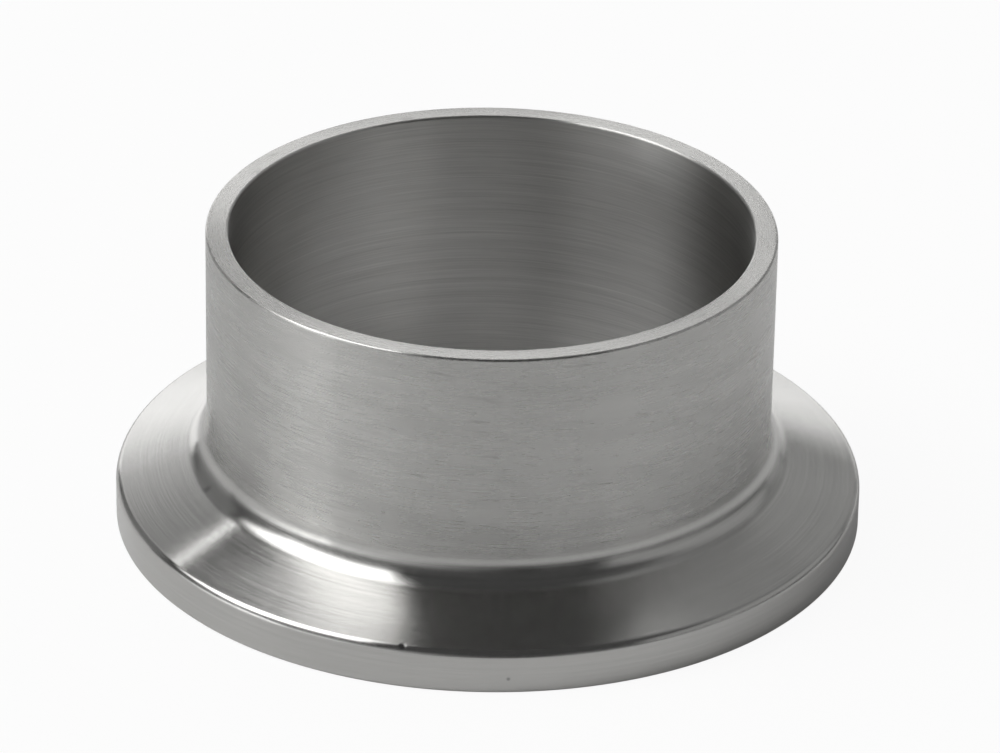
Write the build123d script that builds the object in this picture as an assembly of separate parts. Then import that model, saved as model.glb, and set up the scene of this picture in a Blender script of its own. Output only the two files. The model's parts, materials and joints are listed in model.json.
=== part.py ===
from build123d import *
import os
from math import cos, radians, sin, tan

# Sanitary clamp ferrule, a weld ferrule for 1 1/2 inch hygienic tube.
# It is one turned piece: a thin tube stub that is butt-welded to a pipeline, and at
# its foot a flange with a tapered back. Two such flanges meet face to face on a
# gasket, and a two-bolt or hinged clamp draws their tapers together.
#
# Frame: millimetres, +Z up the tube. The origin is the centre of the gasket face, so
# the ferrule stands on that face with its weld end up. The half section is drawn in
# the XZ plane, with X as the radius, and turned once about Z.

# Driving dimensions
overall_length = 21.0  # gasket face to weld end
tube_diameter = 38.1  # outside diameter of the tube stub
tube_wall = 1.5
flange_reach = 6.15  # how far the flange stands out from the tube
flange_edge = 2.85  # gasket face to the sharp corner of the edge and the taper
clamp_angle = 20.0  # degrees that the back of the flange rises above the gasket face
neck_radius = 2.0  # concave blend from the taper into the tube
rim_radius = 0.6  # rounded corner between the flange edge and the taper
face_break = 0.12  # broken edge round the gasket face
end_radius = 0.18  # rounded edges of the weld end, inside and out
groove_radius = 1.2  # half-round section of the gasket groove
groove_lip = 0.12  # rounding of the groove's two lips
outer_land = 2.25  # flat of the gasket face outside the groove

# Sizes that follow from them
tube_radius = tube_diameter / 2
bore_radius = tube_radius - tube_wall
flange_radius = tube_radius + flange_reach
taper_rise = flange_reach * tan(radians(clamp_angle))
neck_corner = flange_edge + taper_rise  # height where the taper would meet the tube
groove_centre = flange_radius - outer_land - groove_radius


def corner_near(face, radius, height):
    """The section's vertex at a radius and a height."""
    return face.vertices().sort_by_distance(Vector(radius, 0, height))[0]


def rounded(face, radius, height, round_radius):
    """The section with one of its corners rounded."""
    return fillet(corner_near(face, radius, height), round_radius)


def turned_blank():
    """Half section of tube and flange as straight cuts, with every corner sharp."""
    outline = Polyline(
        (bore_radius, 0, 0),
        (flange_radius, 0, 0),
        (flange_radius, 0, flange_edge),
        (tube_radius, 0, neck_corner),
        (tube_radius, 0, overall_length),
        (bore_radius, 0, overall_length),
        close=True,
    )
    return make_face(outline)


def with_groove(section):
    """The section with the gasket groove cut into its foot and the lips rounded."""
    form_tool = Plane.XZ * Pos(groove_centre, 0) * Circle(groove_radius)
    section = section - form_tool
    for side in (-1, 1):
        lip = groove_centre + side * groove_radius
        section = rounded(section, lip, 0, groove_lip)
    return section


def with_dressed_corners(section):
    """The section with the neck blended and the outer corners rounded or broken.

    The bore's edge at the gasket face stays sharp, so that the gasket closes it flush.
    """
    section = rounded(section, tube_radius, neck_corner, neck_radius)
    section = rounded(section, flange_radius, flange_edge, rim_radius)
    section = rounded(section, tube_radius, overall_length, end_radius)
    section = rounded(section, bore_radius, overall_length, end_radius)
    return chamfer(corner_near(section, flange_radius, 0), face_break)


def ferrule():
    """The finished ferrule: its dressed half section turned once about the bore axis."""
    section = with_dressed_corners(with_groove(turned_blank()))
    return revolve(section, axis=Axis.Z)


part = ferrule()
part.label = "ferrule"
os.makedirs("parts", exist_ok=True)
export_step(part, "parts/ferrule.step")

# Sizes that the interfaces are stated with
neck_tangent = neck_radius * tan(radians(90 - clamp_angle) / 2)
tube_start = neck_corner + neck_tangent
taper_inner = tube_radius + neck_tangent * cos(radians(clamp_angle))
taper_inner_height = neck_corner - neck_tangent * sin(radians(clamp_angle))
rim_tangent = rim_radius * tan(radians(90 - clamp_angle) / 2)
print(f"flange diameter {2 * flange_radius:.2f}, bore diameter {2 * bore_radius:.2f}")
print(f"groove on diameter {2 * groove_centre:.2f}, straight tube from z {tube_start:.3f}")
print(f"straight flange edge z {face_break:.2f} to {flange_edge - rim_tangent:.3f}")
print(f"taper starts at radius {taper_inner:.3f}, z {taper_inner_height:.3f}")
print(f"volume {part.volume:.1f} mm3, size {part.bounding_box().size}")
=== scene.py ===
# %% [markdown]
# # A sanitary clamp ferrule
#
# A hygienic pipeline is made of thin stainless tube, and a ferrule like this one is welded on
# wherever it has to come apart. Two ferrules meet face to face on a gasket, and a clamp pulls
# their tapered flanges together. Each ferrule is one piece, turned on a lathe and then polished
# while it spins, so every scratch on it runs round the axis.
#
# The scene follows that order: load the measured frame, turn the body, polish it, then set up
# the table, the studio and the camera.

import json
from math import cos, pi, radians, sin, tan

import bpy
from mathutils import Matrix, Vector


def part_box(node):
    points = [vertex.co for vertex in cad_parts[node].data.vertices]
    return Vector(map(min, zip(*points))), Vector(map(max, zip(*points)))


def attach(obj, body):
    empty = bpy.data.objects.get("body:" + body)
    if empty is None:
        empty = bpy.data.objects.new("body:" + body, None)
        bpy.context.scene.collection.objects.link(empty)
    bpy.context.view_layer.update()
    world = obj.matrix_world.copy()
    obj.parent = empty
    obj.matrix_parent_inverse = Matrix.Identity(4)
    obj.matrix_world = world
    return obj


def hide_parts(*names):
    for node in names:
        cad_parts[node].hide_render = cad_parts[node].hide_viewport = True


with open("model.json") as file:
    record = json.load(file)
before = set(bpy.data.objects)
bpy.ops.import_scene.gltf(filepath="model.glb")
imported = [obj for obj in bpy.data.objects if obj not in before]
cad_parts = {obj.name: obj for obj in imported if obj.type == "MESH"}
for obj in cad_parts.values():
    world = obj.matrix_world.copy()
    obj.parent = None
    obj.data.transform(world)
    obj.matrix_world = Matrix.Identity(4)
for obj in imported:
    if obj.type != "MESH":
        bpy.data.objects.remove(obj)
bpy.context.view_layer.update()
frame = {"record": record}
mounts = {mount["name"]: mount for mount in frame["record"]["mounts"]}
foot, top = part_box("ferrule")

# %% [markdown]
# ## Sizes of the turned body
#
# The three radii and the length come from the frame, so the visible body can never drift away
# from the measured one. The small radii are those a machinist would put in the drawing's corner.
# Lengths are in metres, because that is Blender's unit.

# %% The body's sizes
mm = 0.001
bore_radius, tube_radius, flange_radius = (
    mounts[name]["dims"]["r_mm"] * mm for name in ("bore", "tube_outside", "flange_edge")
)
body_sizes = {
    "Bore radius": bore_radius,
    "Tube radius": tube_radius,
    "Flange radius": flange_radius,
    "Overall length": top.z - foot.z,
    "Flange edge": 2.85 * mm,
    "Clamp angle": radians(20),
    "Neck radius": 2.0 * mm,
    "Rim radius": 0.6 * mm,
    "Face break": 0.12 * mm,
    "End radius": 0.18 * mm,
    "Groove radius": 1.2 * mm,
    "Groove lip": 0.12 * mm,
    "Outer land": 2.25 * mm,
}
for name, size in body_sizes.items():
    print(f"{name}: {size:.5f}")

# %% [markdown]
# ## Two helpers for node trees
#
# Node trees written in Python get long, because every sum is a node and every wire is a line.
# A small class cures that: it wraps an output socket, and adding or multiplying two wraps adds
# the Math node for it. Every other kind of node comes from one method of the sheet it is on.

# %% Wires and sheets
class Wire:
    """An output socket that can be used in sums."""

    def __init__(self, socket, sheet):
        self.socket, self.sheet = socket, sheet

    def sum(self, operation, left, right):
        return self.sheet.node("ShaderNodeMath", {"operation": operation}, {0: left, 1: right})

    def __add__(self, other):
        return self.sum("ADD", self, other)

    def __sub__(self, other):
        return self.sum("SUBTRACT", self, other)

    def __mul__(self, other):
        return self.sum("MULTIPLY", self, other)

    def __truediv__(self, other):
        return self.sum("DIVIDE", self, other)

    def __radd__(self, other):
        return self.sum("ADD", other, self)

    def __rsub__(self, other):
        return self.sum("SUBTRACT", other, self)

    def __rmul__(self, other):
        return self.sum("MULTIPLY", other, self)

    def __rtruediv__(self, other):
        return self.sum("DIVIDE", other, self)

    def also(self, name):
        """Another output of the same node."""
        return Wire(self.sheet.find(self.socket.node.outputs, name), self.sheet)


class Sheet:
    """A node tree, and the one method that puts nodes on it."""

    def __init__(self, tree):
        self.tree = tree

    def find(self, sockets, key):
        """A socket by number, or by its identifier, or by its name."""
        if isinstance(key, int):
            return sockets[key]
        exact = [socket for socket in sockets if socket.identifier == key]
        return exact[0] if exact else sockets[key]

    def node(self, kind, settings=(), sockets=(), out=0):
        """Adds a node, sets it, feeds its sockets, and returns one of its outputs."""
        made = self.tree.nodes.new(kind)
        for name, value in dict(settings).items():
            if name == "entries":
                while len(made.index_switch_items) < value:
                    made.index_switch_items.new()
            else:
                setattr(made, name, value)
        for key, value in dict(sockets).items():
            socket = self.find(made.inputs, key)
            if isinstance(value, Wire):
                self.tree.links.new(value.socket, socket)
            else:
                socket.default_value = value
        return Wire(self.find(made.outputs, out), self) if len(made.outputs) else made


print("helpers ready")

# %% [markdown]
# ## Turning the body
#
# A lathe cuts one outline all the way round, and Blender can do the same. The outline is half of
# the ferrule's section: eleven corners, each with the radius that the tool leaves there. A
# Geometry Nodes tree places the corners from the named sizes, rounds them with Fillet Curve, and
# sweeps the outline along a circle with Curve to Mesh. Extruding and bevelling a cylinder would
# look alike, but then no size could be changed afterwards.

# %% The lathe tree
lathe_tree = bpy.data.node_groups.new("Turned body", "GeometryNodeTree")
lathe = Sheet(lathe_tree)
face = lathe_tree.interface
for name in body_sizes:
    face.new_socket(name, in_out="INPUT", socket_type="NodeSocketFloat")
face.new_socket("Sides", in_out="INPUT", socket_type="NodeSocketInt")
face.new_socket("Arc steps", in_out="INPUT", socket_type="NodeSocketInt")
face.new_socket("Finish", in_out="INPUT", socket_type="NodeSocketMaterial")
face.new_socket("Body", in_out="OUTPUT", socket_type="NodeSocketGeometry")
given = lathe.node("NodeGroupInput")
size = {item.name: given.also(item.name) for item in face.items_tree if item.in_out == "INPUT"}

taper_run = size["Flange radius"] - size["Tube radius"]
slope = lathe.node("ShaderNodeMath", {"operation": "TANGENT"}, {0: size["Clamp angle"]})
neck_height = size["Flange edge"] + taper_run * slope
groove_outside = size["Flange radius"] - size["Outer land"]
groove_inside = groove_outside - 2 * size["Groove radius"]
groove_round = size["Groove radius"] - size["Groove lip"]

corners = [  # radius, height and rounding, from the bore's foot over the top and back
    (size["Bore radius"], 0.0, 0.0),
    (size["Bore radius"], size["Overall length"], size["End radius"]),
    (size["Tube radius"], size["Overall length"], size["End radius"]),
    (size["Tube radius"], neck_height, size["Neck radius"]),
    (size["Flange radius"], size["Flange edge"], size["Rim radius"]),
    (size["Flange radius"], size["Face break"], 0.0),
    (size["Flange radius"] - size["Face break"], 0.0, 0.0),
    (groove_outside, 0.0, size["Groove lip"]),
    (groove_outside, size["Groove radius"], groove_round),
    (groove_inside, size["Groove radius"], groove_round),
    (groove_inside, 0.0, size["Groove lip"]),
]
print(len(corners), "corners in the outline")

# %% Outline, rounding and sweep
seam_gap = 1e-7  # metres, and far below the shortest edge
crease_angle = radians(30)
path_radius = size["Bore radius"]
place_of, rounding_of = {}, {}
for number, (radius, height, rounding) in enumerate(corners):
    across = radius - path_radius
    place_of[f"Item_{number}"] = lathe.node(
        "ShaderNodeCombineXYZ", (), {"X": across, "Y": 0 - height}
    )
    rounding_of[f"Item_{number}"] = rounding
number = lathe.node("GeometryNodeInputIndex")
pick_place = {"data_type": "VECTOR", "entries": len(corners)}
pick_rounding = {"data_type": "FLOAT", "entries": len(corners)}
place = lathe.node("GeometryNodeIndexSwitch", pick_place, {0: number, **place_of})
rounding = lathe.node("GeometryNodeIndexSwitch", pick_rounding, {0: number, **rounding_of})
beads = lathe.node("GeometryNodeMeshLine", (), {"Count": len(corners)})
beads = lathe.node("GeometryNodeSetPosition", (), {"Geometry": beads, "Position": place})
outline = lathe.node("GeometryNodeMeshToCurve", (), {"Mesh": beads})
outline = lathe.node("GeometryNodeSetSplineCyclic", (), {"Geometry": outline, "Cyclic": True})
outline = lathe.node(
    "GeometryNodeFilletCurve",
    {"mode": "POLY"},
    {"Curve": outline, "Count": size["Arc steps"], "Radius": rounding, "Limit Radius": True},
)
path = lathe.node(
    "GeometryNodeCurvePrimitiveCircle", (), {"Resolution": size["Sides"], "Radius": path_radius}
)
path = lathe.node("GeometryNodeSetCurveNormal", {"mode": "Z_UP"}, {"Curve": path})
swept = lathe.node("GeometryNodeCurveToMesh", (), {"Curve": path, "Profile Curve": outline})
weld = {"Geometry": swept, "Distance": seam_gap}
swept = lathe.node("GeometryNodeMergeByDistance", (), weld)
swept = lathe.node("GeometryNodeSetShadeSmooth", {"domain": "FACE"}, {"Geometry": swept})
crease = lathe.node("GeometryNodeInputMeshEdgeAngle")
is_crease = lathe.node(
    "FunctionNodeCompare", {"data_type": "FLOAT"}, {"A": crease, "B": crease_angle}
)
swept = lathe.node(
    "GeometryNodeSetShadeSmooth",
    {"domain": "EDGE"},
    {"Geometry": swept, "Selection": is_crease, "Shade Smooth": False},
)
swept = lathe.node("GeometryNodeRealizeInstances", (), {"Geometry": swept})
swept = lathe.node(
    "GeometryNodeSetMaterial", (), {"Geometry": swept, "Material": size["Finish"]}
)
lathe.node("NodeGroupOutput", (), {"Body": swept})
print("the tree has", len(lathe_tree.nodes), "nodes")

# %% [markdown]
# ## Satin stainless steel
#
# Stainless steel is a grey mirror that has been scratched. Here the scratches all run round the
# axis, because the ferrule spun while it was polished. They bend light up and down the part far
# more than round it, so a lamp shows as a soft streak along the section. The Anisotropic input
# does that, and with nothing on its Tangent input the grain runs round Z, as on a lathe.
#
# The rest is wear that a learner might leave out: strokes of the polishing cloth, dark wisps
# where it was pressed, and a few small dings, each with painted shade in its colour. All of it is
# made from noise on Object coordinates, so it stays on the metal from every side.

# %% Places on the metal
steel = bpy.data.materials.new("Satin stainless")
steel.use_nodes = True
steel.node_tree.nodes.clear()
polish = Sheet(steel.node_tree)


def maths(operation, *terms):
    """One Math node on the polish sheet, for what the operators don't cover."""
    return polish.node("ShaderNodeMath", {"operation": operation}, dict(enumerate(terms)))


def ramp(value, low, high):
    """0 below low, 1 above high, and smooth between."""
    settings = {"interpolation_type": "SMOOTHSTEP"}
    limits = {"Value": value, "From Min": low, "From Max": high}
    return polish.node("ShaderNodeMapRange", settings, limits)


spot = polish.node("ShaderNodeTexCoord", out="Object")
split = polish.node("ShaderNodeSeparateXYZ", (), {"Vector": spot})
x, y, z = split, split.also("Y"), split.also("Z")
radius = maths("SQRT", x * x + y * y)
fades = {  # where one finish gives way to the next, from and to, in millimetres
    "out of the bore": (0.05, 0.2),
    "up the neck": (6.0, 6.9),
    "over the rim": (2.5, 2.8),
    "away from the foot": (7.5, 10.5),
}


def fade(name, value, start=0.0):
    """0 before the named fade and 1 after it, counted from a start."""
    low, high = fades[name]
    return ramp(value, start + low * mm, start + high * mm)


in_bore = 1 - fade("out of the bore", radius, bore_radius)
on_flange = (1 - fade("up the neck", z)) * (1 - in_bore)
on_tube = 1 - in_bore - on_flange
on_edge = (1 - fade("over the rim", z)) * (1 - in_bore)
near_foot = (1 - fade("away from the foot", z)) * on_tube
print(len(fades), "fades between finishes")

# %% Strokes that run round the axis
def strokes(length, pitch, seed, lean=(0.0, 0.0), detail=2.0, bite=0.6):
    """Noise drawn out round the axis: marks of about that length, one pitch apart.

    A lean tips the marks out of level, as the strokes of a hand-held cloth are.
    """
    height = z + lean[0] * x + lean[1] * y
    turn = polish.node(
        "ShaderNodeCombineXYZ",
        (),
        {
            "X": x / radius * (tube_radius / length),
            "Y": y / radius * (tube_radius / length),
            "Z": height / pitch + seed,
        },
    )
    sockets = {"Vector": turn, "W": radius / pitch, "Scale": 1.0, "Detail": detail}
    sockets["Roughness"] = bite
    return polish.node("ShaderNodeTexNoise", {"noise_dimensions": "4D"}, sockets)


lathe_lines = strokes(26.0 * mm, 0.11 * mm, 29.0, (0.004, 0.0), detail=4.0, bite=0.75)
grain = strokes(5.0 * mm, 0.12 * mm, 3.0, (0.02, -0.01), detail=3.0)
cross_grain = strokes(2.5 * mm, 0.17 * mm, 17.0, (-0.11, 0.05))
patches = strokes(9.0 * mm, 1.6 * mm, 5.0, (0.12, 0.05), detail=4.0)
wisps = strokes(2.6 * mm, 0.30 * mm, 41.0, (0.09, 0.06), detail=3.0)
wisp_low, wisp_high = 0.58, 0.78
wisps = ramp(wisps, wisp_low, wisp_high) * on_tube
bands = strokes(30.0 * mm, 1.1 * mm, 11.0, (0.01, 0.0))
clouds_per_metre = 330.0
cloud_size = {"Vector": spot, "Scale": clouds_per_metre, "Detail": 4.0}
cloud = polish.node("ShaderNodeTexNoise", (), cloud_size)
print("strokes ready")

# %% Dings, each a small dent with painted shade in it
dings = {  # degrees round the axis, distance from it, height and size, in millimetres
    "nick in the rim": (257.8, 24.92, 2.88, 0.34),
    "pit in the edge": (273.6, 25.2, 1.05, 0.20),
    "speck by the neck": (349.0, 19.05, 8.4, 0.22),
    "bruise on the neck": (201.0, 20.2, 5.0, 0.55),
}
dent_and_painted_shade = 0.0
flat_floor = 0.2  # the part of a ding's size that is flat
for bearing, out, height, across in dings.values():
    angle = radians(bearing)
    centre = (out * mm * cos(angle), out * mm * sin(angle), height * mm)
    measure = {"operation": "DISTANCE"}
    apart = polish.node("ShaderNodeVectorMath", measure, {0: spot, 1: centre}, out="Value")
    dent_and_painted_shade = (1 - ramp(apart, flat_floor * across * mm, across * mm)) + dent_and_painted_shade
print(len(dings), "dings")

# %% Marks, each around zero, on the surfaces that have them
lines = (lathe_lines - 0.5) * (1 - 0.75 * on_tube)
cloth_marks = ((grain - 0.5) + 0.7 * (cross_grain - 0.5)) * (on_tube + on_edge)
honing = (grain - 0.5) * in_bore
pressed = (patches - 0.5) * on_tube
foot_bands = (bands - 0.5) * near_foot
mottle = cloud - 0.5
print("marks ready")

# %% Colour
steel_colour = (0.600, 0.595, 0.580)
shade = 1 + (0.34 + 0.3 * in_bore) * lines + 0.18 * cloth_marks + 0.35 * honing
shade = shade + 0.6 * foot_bands + 0.30 * pressed + 0.10 * mottle * on_tube
# Each ding darkens the steel's colour here: painted shade, on top of the ding's bump in the
# relief.
shade = shade * (1 - 0.15 * wisps) * (1 - 0.45 * dent_and_painted_shade)
scaled = {0: steel_colour, "Scale": shade}
colour = polish.node("ShaderNodeVectorMath", {"operation": "SCALE"}, scaled)
print("steel colour:", steel_colour)

# %% Roughness
tube_rough, bore_rough, flange_rough = 0.27, 0.33, 0.17
rough = tube_rough + (bore_rough - tube_rough) * in_bore
rough = rough - (tube_rough - flange_rough) * on_flange
rough = rough + 0.05 * mottle + 0.10 * lines + 0.05 * cloth_marks + 0.05 * wisps
print("roughness of tube, bore and flange:", tube_rough, bore_rough, flange_rough)

# %% Relief
scratch_depth = 0.012 * mm
relief = (0.6 - 0.2 * in_bore) * lines + 0.3 * cloth_marks + 0.3 * honing - 0.6 * dent_and_painted_shade
raised = {"Height": relief, "Distance": scratch_depth, "Strength": 1.0}
bump = polish.node("ShaderNodeBump", (), raised)
print("scratches up to", scratch_depth / mm, "mm deep")

# %% The steel itself
quarter_turn = 0.25  # turns the stretch of each highlight across the grain
metal = polish.node(
    "ShaderNodeBsdfPrincipled",
    (),
    {
        "Base Color": colour,
        "Metallic": 1.0,
        "Roughness": rough,
        "Anisotropic": 1.0,
        "Anisotropic Rotation": quarter_turn,
        "Normal": bump,
    },
)
polish.node("ShaderNodeOutputMaterial", (), {"Surface": metal})
print("the finish has", len(steel.node_tree.nodes), "nodes")

# %% [markdown]
# ## The finished body
#
# The tree is put on an empty mesh as a modifier, its inputs are set, and the result is copied
# out as a plain mesh. Weighted Normal comes after it: where a long flat face meets the first
# facet of a small rounding, it lets the flat face rule the shading, so that no false curve
# creeps over the metal.

# %% Copy the body out of the tree
blank = bpy.data.objects.new("lathe_blank", bpy.data.meshes.new("lathe_blank"))
bpy.context.scene.collection.objects.link(blank)
turning = blank.modifiers.new("Turning", "NODES")
turning.node_group = lathe_tree
sides, arc_steps = 720, 12
settings = {**body_sizes, "Sides": sides, "Arc steps": arc_steps, "Finish": steel}
for item in lathe_tree.interface.items_tree:
    if item.in_out == "INPUT":
        turning[item.identifier] = settings[item.name]
smoothing = blank.modifiers.new("Flat faces rule the shading", "WEIGHTED_NORMAL")
smoothing.keep_sharp = True
ready = blank.evaluated_get(bpy.context.evaluated_depsgraph_get())
body = bpy.data.objects.new("ferrule_body", bpy.data.meshes.new_from_object(ready))
body.data.name = "ferrule_body"
bpy.data.objects.remove(blank)
bpy.context.scene.collection.objects.link(body)
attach(body, "root")
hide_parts("ferrule")
print(len(body.data.polygons), "faces in the body")

# %% [markdown]
# ## The table
#
# The ferrule stands on white paper. A diffuse white of 0.8 is what real paper has, and it takes
# the ferrule's shadow. Lit softly, such paper would look grey, and more light would burn out the
# metal. So Light Path mixes in a white glow: to the camera the paper is nearly all glow and keeps
# a trace of the shadow, and the metal gets a small part of the same glow to reflect.

# %% The table
table_width = 8.0
white_paper = (0.8, 0.8, 0.8, 1)
glow_to_camera, glow_to_metal = 0.94, 0.06
bpy.ops.mesh.primitive_plane_add(size=table_width)
table = bpy.context.object
table.name = "table"
paper = bpy.data.materials.new("White paper")
paper.use_nodes = True
paper.node_tree.nodes.clear()
sheet = Sheet(paper.node_tree)
rays = sheet.node("ShaderNodeLightPath", out="Is Camera Ray")
mirrored = rays.also("Is Glossy Ray") + rays.also("Is Transmission Ray")
seen = glow_to_camera * rays + glow_to_metal * mirrored
matt = sheet.node("ShaderNodeBsdfDiffuse", (), {"Color": white_paper})
white = sheet.node("ShaderNodeEmission", (), {"Color": (1, 1, 1, 1), "Strength": 1.0})
paper_mix = sheet.node("ShaderNodeMixShader", (), {0: seen, 1: matt, 2: white})
sheet.node("ShaderNodeOutputMaterial", (), {"Surface": paper_mix})
table.data.materials.append(paper)
print("table", table_width, "metres wide")

# %% [markdown]
# ## The tent
#
# Metal has no look of its own: it shows what stands round it. In a studio a tent of dim grey
# cloth is hung round a shiny part, so that every direction gives it something calm to reflect.
# Here the tent is a large sphere that glows at a low level and that the camera can't see. A
# grey world would do the same, but the camera would see it too.

# %% The tent
tent_reach, tent_glow = 6.0, 0.068
bpy.ops.mesh.primitive_uv_sphere_add(segments=48, ring_count=24, radius=tent_reach)
tent = bpy.context.object
tent.name = "tent"
felt = bpy.data.materials.new("Grey felt")
felt.use_nodes = True
felt.node_tree.nodes.clear()
cloth = Sheet(felt.node_tree)
dim = cloth.node("ShaderNodeEmission", (), {"Color": (1, 1, 1, 1), "Strength": tent_glow})
cloth.node("ShaderNodeOutputMaterial", (), {"Surface": dim})
tent.data.materials.append(felt)
tent.visible_camera = False
print("tent glowing at", tent_glow)

# %% [markdown]
# ## Glowing cards
#
# The bright and dark fields on turned steel are the shapes of the lamps round it. A softbox is
# a glowing sheet, so each one is a flat card whose material only emits light. A card can do what
# an area lamp can't: its glow changes smoothly over it, as behind the cloth of a real softbox,
# and that gives the metal its soft gradients. Places are given on a plan of the room, where 1 is
# two metres from the ferrule, and as angles above the table.

# %% One glowing card
def card(name, corners, first_level, last_level=None, reach=0.0):
    """A flat card, out of the camera's sight, that glows at a level where 1 is white.

    With a last level, the glow changes smoothly from the card's first corner to its second, or,
    for a softbox with a lamp behind its middle, from the middle to the reach.
    """
    shape = bpy.data.meshes.new(name)
    shape.from_pydata(corners, [], [(0, 1, 2, 3)])
    made = bpy.data.objects.new(name, shape)
    bpy.context.scene.collection.objects.link(made)
    glow = bpy.data.materials.new(name)
    glow.use_nodes = True
    glow.node_tree.nodes.clear()
    gel = Sheet(glow.node_tree)
    level = first_level
    if last_level is not None:
        first, second = Vector(corners[0]), Vector(corners[1])
        where = gel.node("ShaderNodeTexCoord", out="Object")
        if reach:
            operation, other = "DISTANCE", sum(map(Vector, corners), Vector()) / len(corners)
            start, end = 0.0, reach
        else:
            operation, other = "DOT_PRODUCT", (second - first).normalized()
            start, end = first.dot(other), second.dot(other)
        measure = {"operation": operation}
        apart = gel.node("ShaderNodeVectorMath", measure, {0: where, 1: other}, out="Value")
        limits = {"Value": apart, "From Min": start, "From Max": end}
        fading = gel.node("ShaderNodeMapRange", {"interpolation_type": "SMOOTHSTEP"}, limits)
        level = first_level + (last_level - first_level) * fading
    shine = gel.node("ShaderNodeEmission", (), {"Color": (1, 1, 1, 1), "Strength": level})
    gel.node("ShaderNodeOutputMaterial", (), {"Surface": shine})
    shape.materials.append(glow)
    made.visible_camera = False
    return made


print("card maker ready")

# %% Places for the cards
room, beyond = 2.0, 1.35


def sky(bearing, rise):
    """The point at a bearing and a rise in degrees, a little beyond the walls of the room."""
    turn, climb = radians(bearing), radians(rise)
    return beyond * room * Vector((cos(climb) * cos(turn), cos(climb) * sin(turn), sin(climb)))


def ceiling_card(name, plan, *levels):
    """A card on the ceiling, from the plan of its corners in room sizes."""
    return card(name, [(room * x, room * y, room) for x, y in plan], *levels)


def standing_card(name, start, end, rise, *levels):
    """A card that stands on its edge over a line of the plan, between two rises in degrees."""
    away = sum(((a + b) / 2) ** 2 for a, b in zip(start, end)) ** 0.5
    low, high = (away * tan(radians(angle)) for angle in rise)
    ends = [(*start, low), (*end, low), (*end, high), (*start, high)]
    return card(name, [tuple(room * part for part in corner) for corner in ends], *levels)


print("the room is", 2 * room, "metres wide")

# %% The cards
softbox_plan = [(-0.16, 0.24), (-0.60, -0.64), (-1.58, -0.15), (-1.14, 0.73)]
cards = [
    ceiling_card("softbox", softbox_plan, 4.3, 2.6, 1.2),
    card("thin strip", [sky(106, 38.6), sky(130, 41.7), sky(130, 42.5), sky(106, 39.4)], 3.6),
    ceiling_card("back softbox", [(-0.1, 0.42), (0.3, 0.42), (0.3, 1.0), (-0.1, 1.0)], 0.8),
    ceiling_card("right ceiling", [(0.3, 0.0), (1.1, 0.0), (1.1, 1.0), (0.3, 1.0)], 0.27, 0.17),
    standing_card("back window", (-0.1, 1.0), (0.3, 1.0), (26, 44), 2.3, 0.7),
    standing_card("right back panel", (0.32, 1.0), (1.1, 1.0), (15, 44), 0.32, 0.2),
    standing_card("right low panel", (0.62, 1.0), (1.1, 1.0), (0, 15), 0.32),
    standing_card("tall strip", (-0.28, 1.02), (-0.75, 1.02), (18, 42), 0.98, 0.05),
    standing_card("left back panel", (-0.78, 1.02), (-1.9, 0.85), (8, 34), 0.2),
    standing_card("left low panel", (-0.62, 1.0), (-1.9, 0.85), (0, 8), 0.2, 0.5),
    standing_card("backdrop left", (-0.1, 1.0), (-0.6, 1.0), (0, 18), 1.55, 1.2),
    standing_card("backdrop right", (0.1, 1.0), (0.6, 1.0), (0, 15), 1.5, 0.4),
    standing_card("left low strip", (-2.0, -1.1), (-2.0, 0.8), (0, 8), 3.9, 0.4),
    standing_card("front strip", (-2.0, -1.1), (0.4, -1.1), (0, 16), 1.35, 0.0),
    standing_card("right panel", (1.1, -1.0), (1.1, 1.0), (12, 42), 0.37),
]
print(len(cards), "cards")

# %% [markdown]
# ## The table's own lamp
#
# Soft cards alone leave the paper dull, and a dull table is a dull reflection all round the foot
# of the ferrule. An area lamp lifts it to a plain level. It is hidden from glossy rays, so it
# adds no second highlight to the steel.

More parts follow.
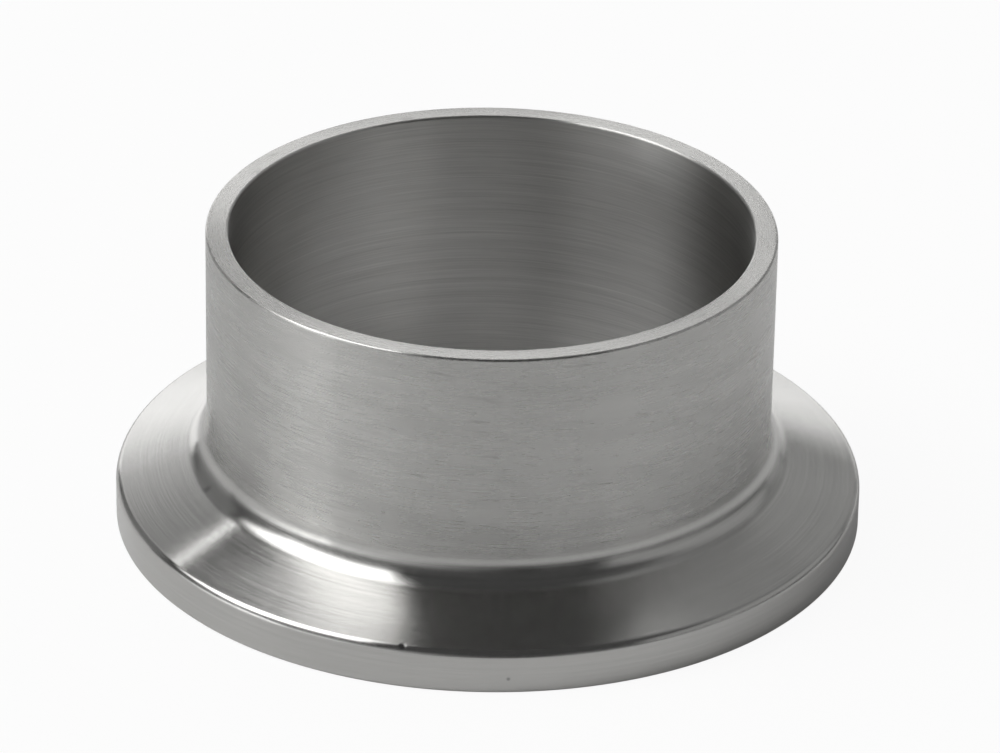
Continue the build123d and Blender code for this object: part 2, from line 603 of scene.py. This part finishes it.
# %% The table's own lamp
lamp_side, lamp_level = 0.85, 2.9
key = bpy.data.lights.new("table lamp", "AREA")
key.shape, key.size, key.size_y = "RECTANGLE", lamp_side, lamp_side
key.energy = lamp_level * pi * lamp_side * lamp_side
key_lamp = bpy.data.objects.new("table lamp", key)
key_place = Vector((-1.25, -0.08, 1.45))
aim = (-key_place).to_track_quat("-Z", "Y").to_matrix().to_4x4()
key_lamp.matrix_world = Matrix.Translation(key_place) @ aim
key_lamp.visible_camera = False
key_lamp.visible_glossy = False
bpy.context.scene.collection.objects.link(key_lamp)
print("lamp power:", round(key.energy, 2), "watts")

# %% [markdown]
# ## The camera
#
# A small part is best seen from a distance through a long lens, so that its round rims stay
# true ellipses. The camera looks down by about 28 degrees from 42 centimetres away, and it leans
# one degree, as a camera on a tripod often does. Its place is worked out from those few
# numbers: back along the line of sight, then a few millimetres up and aside to frame the part.

# %% The camera
lens = bpy.data.cameras.new("Camera")
lens.sensor_width, lens.lens = 36, 224.33
lens.clip_start, lens.clip_end = 0.05, 20
camera = bpy.data.objects.new("Camera", lens)
bpy.context.scene.collection.objects.link(camera)
tilt, roll, distance = 27.56, 1.0, 0.4242
forward = Vector((0, cos(radians(tilt)), -sin(radians(tilt))))
level_up = Vector((1, 0, 0)).cross(forward)
right = cos(radians(roll)) * Vector((1, 0, 0)) + sin(radians(roll)) * level_up
up = right.cross(forward)
aside, above = 0.857 * mm, 8.760 * mm
stand = aside * right + above * up - distance * forward
turned = Matrix((right, up, -forward)).transposed().to_4x4()
camera.matrix_world = Matrix.Translation(stand) @ turned
bpy.context.scene.camera = camera
bpy.context.scene.view_settings.view_transform = "Standard"
print("camera at", [round(side, 4) for side in stand])

# %% [markdown]
# ## The world
#
# Beyond the tent there is only the world. The tent hides it from the metal but not from the
# camera, so it is plain white, like the table, and the table's far edge doesn't show.

# %% The world
world = bpy.data.worlds.new("Studio")
bpy.context.scene.world = world
world.use_nodes = True
world.node_tree.nodes["Background"].inputs[0].default_value = (1, 1, 1, 1)
print("world ready")
